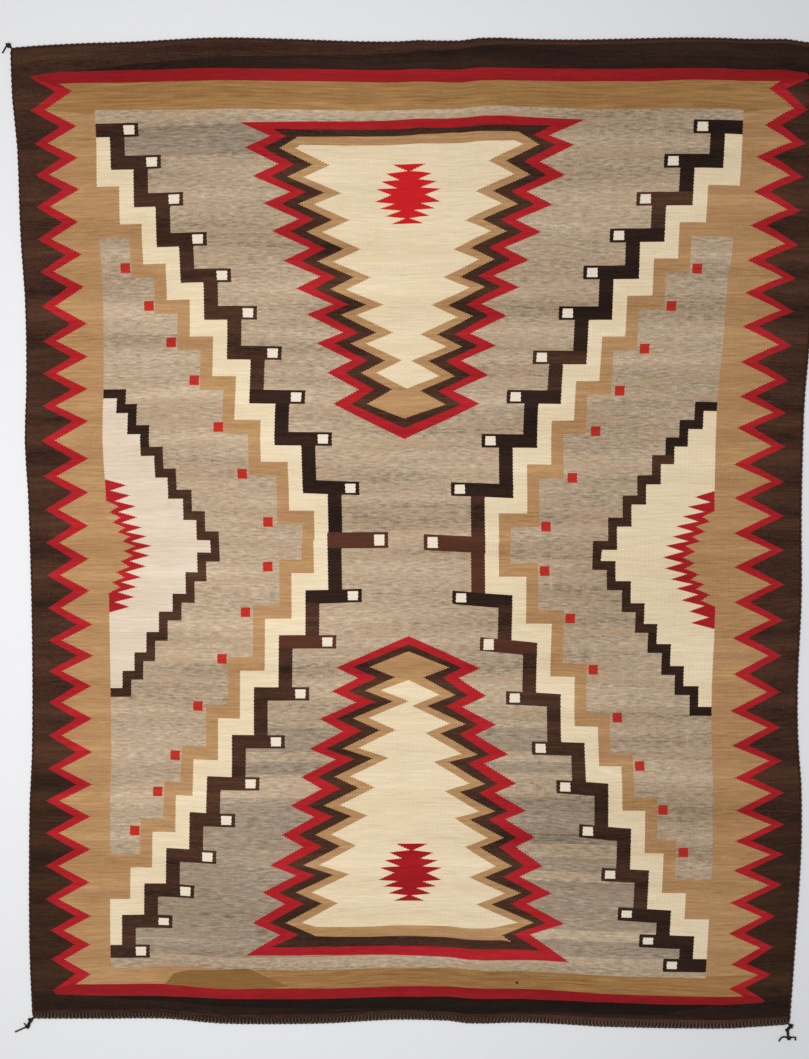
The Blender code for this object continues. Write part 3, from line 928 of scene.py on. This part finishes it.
# The corner ties: the edge cords' own ends, knotted off at each corner, and near black.
# Each knot is an overhand knot pulled tight round itself, and the tails stay plied.
# Rows of knots: millimetres right and up of the corner, half width.
# Rows of tails: half width, then stops right, up and above the floor.
TIES = {
    "top_left": (top_left, ((-3.6, 3.6, 4.4),), (
        (1.5, ((5, -6, 3), (2.6, -2.6, 3.6), (0, 0.4, 3.6), (-3, 3.2, 3.6))),
        (1.4, ((-3, 4, 2.6), (-6, 2.6, 2.2), (-8.8, -0.7, 1.5), (-11, -4.5, 1.4),
               (-13, -8, 1.4))),)),
    "top_right": (top_right, ((3.6, 3.6, 4.4),), (
        (1.5, ((-4, -6, 3), (-1.6, -2.6, 3.6), (0.4, 0.4, 3.6), (3, 3.2, 3.6))),
        (1.4, ((3.4, 4.2, 2.6), (6.2, 3.4, 2.4), (9, 1.9, 1.6), (12.4, -1.2, 1.4),
               (15.6, -2.4, 1.4))),)),
    "bottom_left": (bottom_left, ((-3.2, -3.9, 4.3), (-8, -14, 4.2)), (
        (1.5, ((5, 4, 3), (2.6, 1.8, 3.6), (0.2, -0.6, 3.6), (-2.8, -3.4, 3.6))),
        (2.5, ((-3, -3.6, 3.2), (-5.4, -8.6, 2.7), (-7.8, -13.6, 3))),
        (1.4, ((-7.6, -13.6, 3.2), (-11, -15.6, 2.4), (-14.8, -17.2, 1.6),
               (-22, -20.6, 1.4), (-28.2, -23.4, 1.4))),
        (1.2, ((-8.3, -13.6, 3.6), (-10.4, -12.2, 2.2), (-12, -11, 1.5),
               (-14.6, -9.4, 1.3))))),
    "bottom_right": (bottom_right, ((3.5, -3.5, 4.4), (-1.6, -11, 3.6), (0.6, -22.6, 4.2)), (
        (1.5, ((-4, 4, 3), (-1.8, 1.8, 3.6), (0.4, -0.4, 3.6), (3, -3.2, 3.6))),
        (2.3, ((3.3, -3.8, 3.2), (0.7, -7.2, 2.5), (-1.4, -10.6, 2.8))),
        (2.1, ((-1.5, -11.6, 2.6), (-0.7, -16.6, 2.2), (0.5, -22.2, 2.9))),
        (1.5, ((0.1, -22.4, 3), (-3.2, -21.8, 2.4), (-6.2, -21.4, 1.7), (-11, -23.4, 1.5),
               (-14.8, -29, 1.5))),
        (1.4, ((1.1, -22.7, 3.2), (4, -22.6, 2.4), (6.4, -22.2, 1.6), (11.4, -22.6, 1.4),
               (11.2, -27.4, 1.4))))),
}
tie_wool = plied_wool("knotted_black_wool", "#191310", "#33251f")
KNOT_FLAT = 0.75  # a knot's height, as a share of its width
KNOT_CORE = 0.72  # the wool in its middle, as a share of its width
KNOT_YARN = 0.00085  # its yarns' radius, their distance from its line and their turn, metres
KNOT_LAY = 0.0008
KNOT_TURN = 0.008
TAIL_YARN = 0.53  # the same for a tail, as shares of the tail's half width
TAIL_LAY = 0.5
TAIL_TURN = 5.2


def eased(stops, steps=6):
    """A smooth line through the stops."""
    points = [Vector(p) for p in stops]
    points = [points[0] * 2 - points[1], *points, points[-1] * 2 - points[-2]]
    line = []
    for a, b, c, d in zip(points, points[1:], points[2:], points[3:]):
        for k in range(steps):
            t = k / steps
            line.append(0.5 * (2 * b + (c - a) * t + (2 * a - 5 * b + 4 * c - d) * t * t
                               + (3 * b - a - 3 * c + d) * t ** 3))
    line.append(points[-2])
    return line


for label, (corner, knots, tails) in TIES.items():
    parts = []
    for right, up, half in knots:
        loops = []
        for k in range(49):
            t = 2 * math.pi * k / 48
            loops.append(Vector((
                corner.x + (right + (half - 1.3) / 3 * (math.sin(t) + 2 * math.sin(2 * t))) / 1000,
                corner.y + (up + (half - 1.3) / 3 * (math.cos(t) - 2 * math.cos(2 * t))) / 1000,
                (half * KNOT_FLAT - 1.0 * math.sin(3 * t)) / 1000)))
        parts.append(spun("knot", 2, KNOT_YARN, KNOT_LAY, KNOT_TURN, loops, per_turn=12))
        core = bmesh.new()
        bmesh.ops.create_uvsphere(core, u_segments=16, v_segments=10,
                                  radius=half * KNOT_CORE / 1000)
        bmesh.ops.scale(core, vec=(1, 1, KNOT_FLAT), verts=core.verts)
        bmesh.ops.translate(core, verts=core.verts, vec=(
            corner.x + right / 1000, corner.y + up / 1000, half * KNOT_FLAT / 1000))
        parts.append(as_piece("knot_core", core))
        parts[-1].data.uv_layers.new(name="weave")
    for half, stops in tails:
        line = [Vector((corner.x + right / 1000, corner.y + up / 1000, rise / 1000))
                for right, up, rise in eased(stops)]
        parts.append(spun("tail", 2, half * TAIL_YARN / 1000, half * TAIL_LAY / 1000,
                          half * TAIL_TURN / 1000, line, per_turn=12))
    bpy.ops.object.select_all(action="DESELECT")
    for part in parts:
        part.select_set(True)
    bpy.context.view_layer.objects.active = parts[0]
    bpy.ops.object.join()
    tie = bpy.context.view_layer.objects.active
    tie.name = "knotted_tie_" + label
    tie.data.materials.clear()
    tie.data.materials.append(tie_wool)
    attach(tie, "root")
    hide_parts("corner_tie_" + label)

# The studio: a pale floor, one large soft light over the middle and a weak one all round,
# and a camera that looks straight down, a little from beyond the rug's upper end.
FLOOR_UNDER = 0.0004  # how far the floor lies under the cloth, so that they don't touch
bpy.ops.mesh.primitive_plane_add(size=12, location=(0, 0, -FLOOR_UNDER))
floor = bpy.context.object
floor.name = "floor"
# The floor is painted matt, so it gives a soft shadow and no mirror of the lamp.
paint = bpy.data.materials.new("matt_floor_paint")
paint.use_nodes = True
matt = paint.node_tree.nodes["Principled BSDF"]
matt.inputs["Base Color"].default_value = linear("#dfe2e8")
matt.inputs["Roughness"].default_value = 0.9
floor.data.materials.append(paint)

world = bpy.data.worlds.new("room")
world.use_nodes = True
sky = world.node_tree.nodes["Background"]
sky.inputs["Color"].default_value = linear("#eef1f6")
sky.inputs["Strength"].default_value = 0.33
bpy.context.scene.world = world
# The plain transform shows the yarns as they are dyed. The default one pales them.
bpy.context.scene.view_settings.view_transform = "Standard"

lamp_data = bpy.data.lights.new("softbox", "AREA")
lamp_data.shape = "RECTANGLE"
lamp_data.size = 1.2
lamp_data.size_y = 1.0
lamp_data.energy = 46
lamp_data.color = linear("#fffaf3")[:3]
lamp = bpy.data.objects.new("softbox", lamp_data)
lamp.location = (-0.5, 0.0, 2.1)
lamp.rotation_euler = (-Vector(lamp.location)).to_track_quat("-Z", "Y").to_euler()
bpy.context.scene.collection.objects.link(lamp)

CAMERA_LEAN = math.radians(2.9)
CAMERA_AWAY = 3.0
FRAMED_CORNER = (-0.6025, 0.7380)  # the rug's upper left corner, from the middle of the view
rug_shift = top_left - Vector(FRAMED_CORNER)
camera_data = bpy.data.cameras.new("camera")
camera_data.sensor_fit = "VERTICAL"
camera_data.sensor_height = 36.0
camera_data.lens = 65.78
camera = bpy.data.objects.new("camera", camera_data)
camera.location = (rug_shift.x, rug_shift.y + CAMERA_AWAY * math.sin(CAMERA_LEAN),
                   CAMERA_AWAY * math.cos(CAMERA_LEAN))
camera.rotation_euler = (-CAMERA_LEAN, 0, 0)
bpy.context.scene.collection.objects.link(camera)
bpy.context.scene.camera = camera
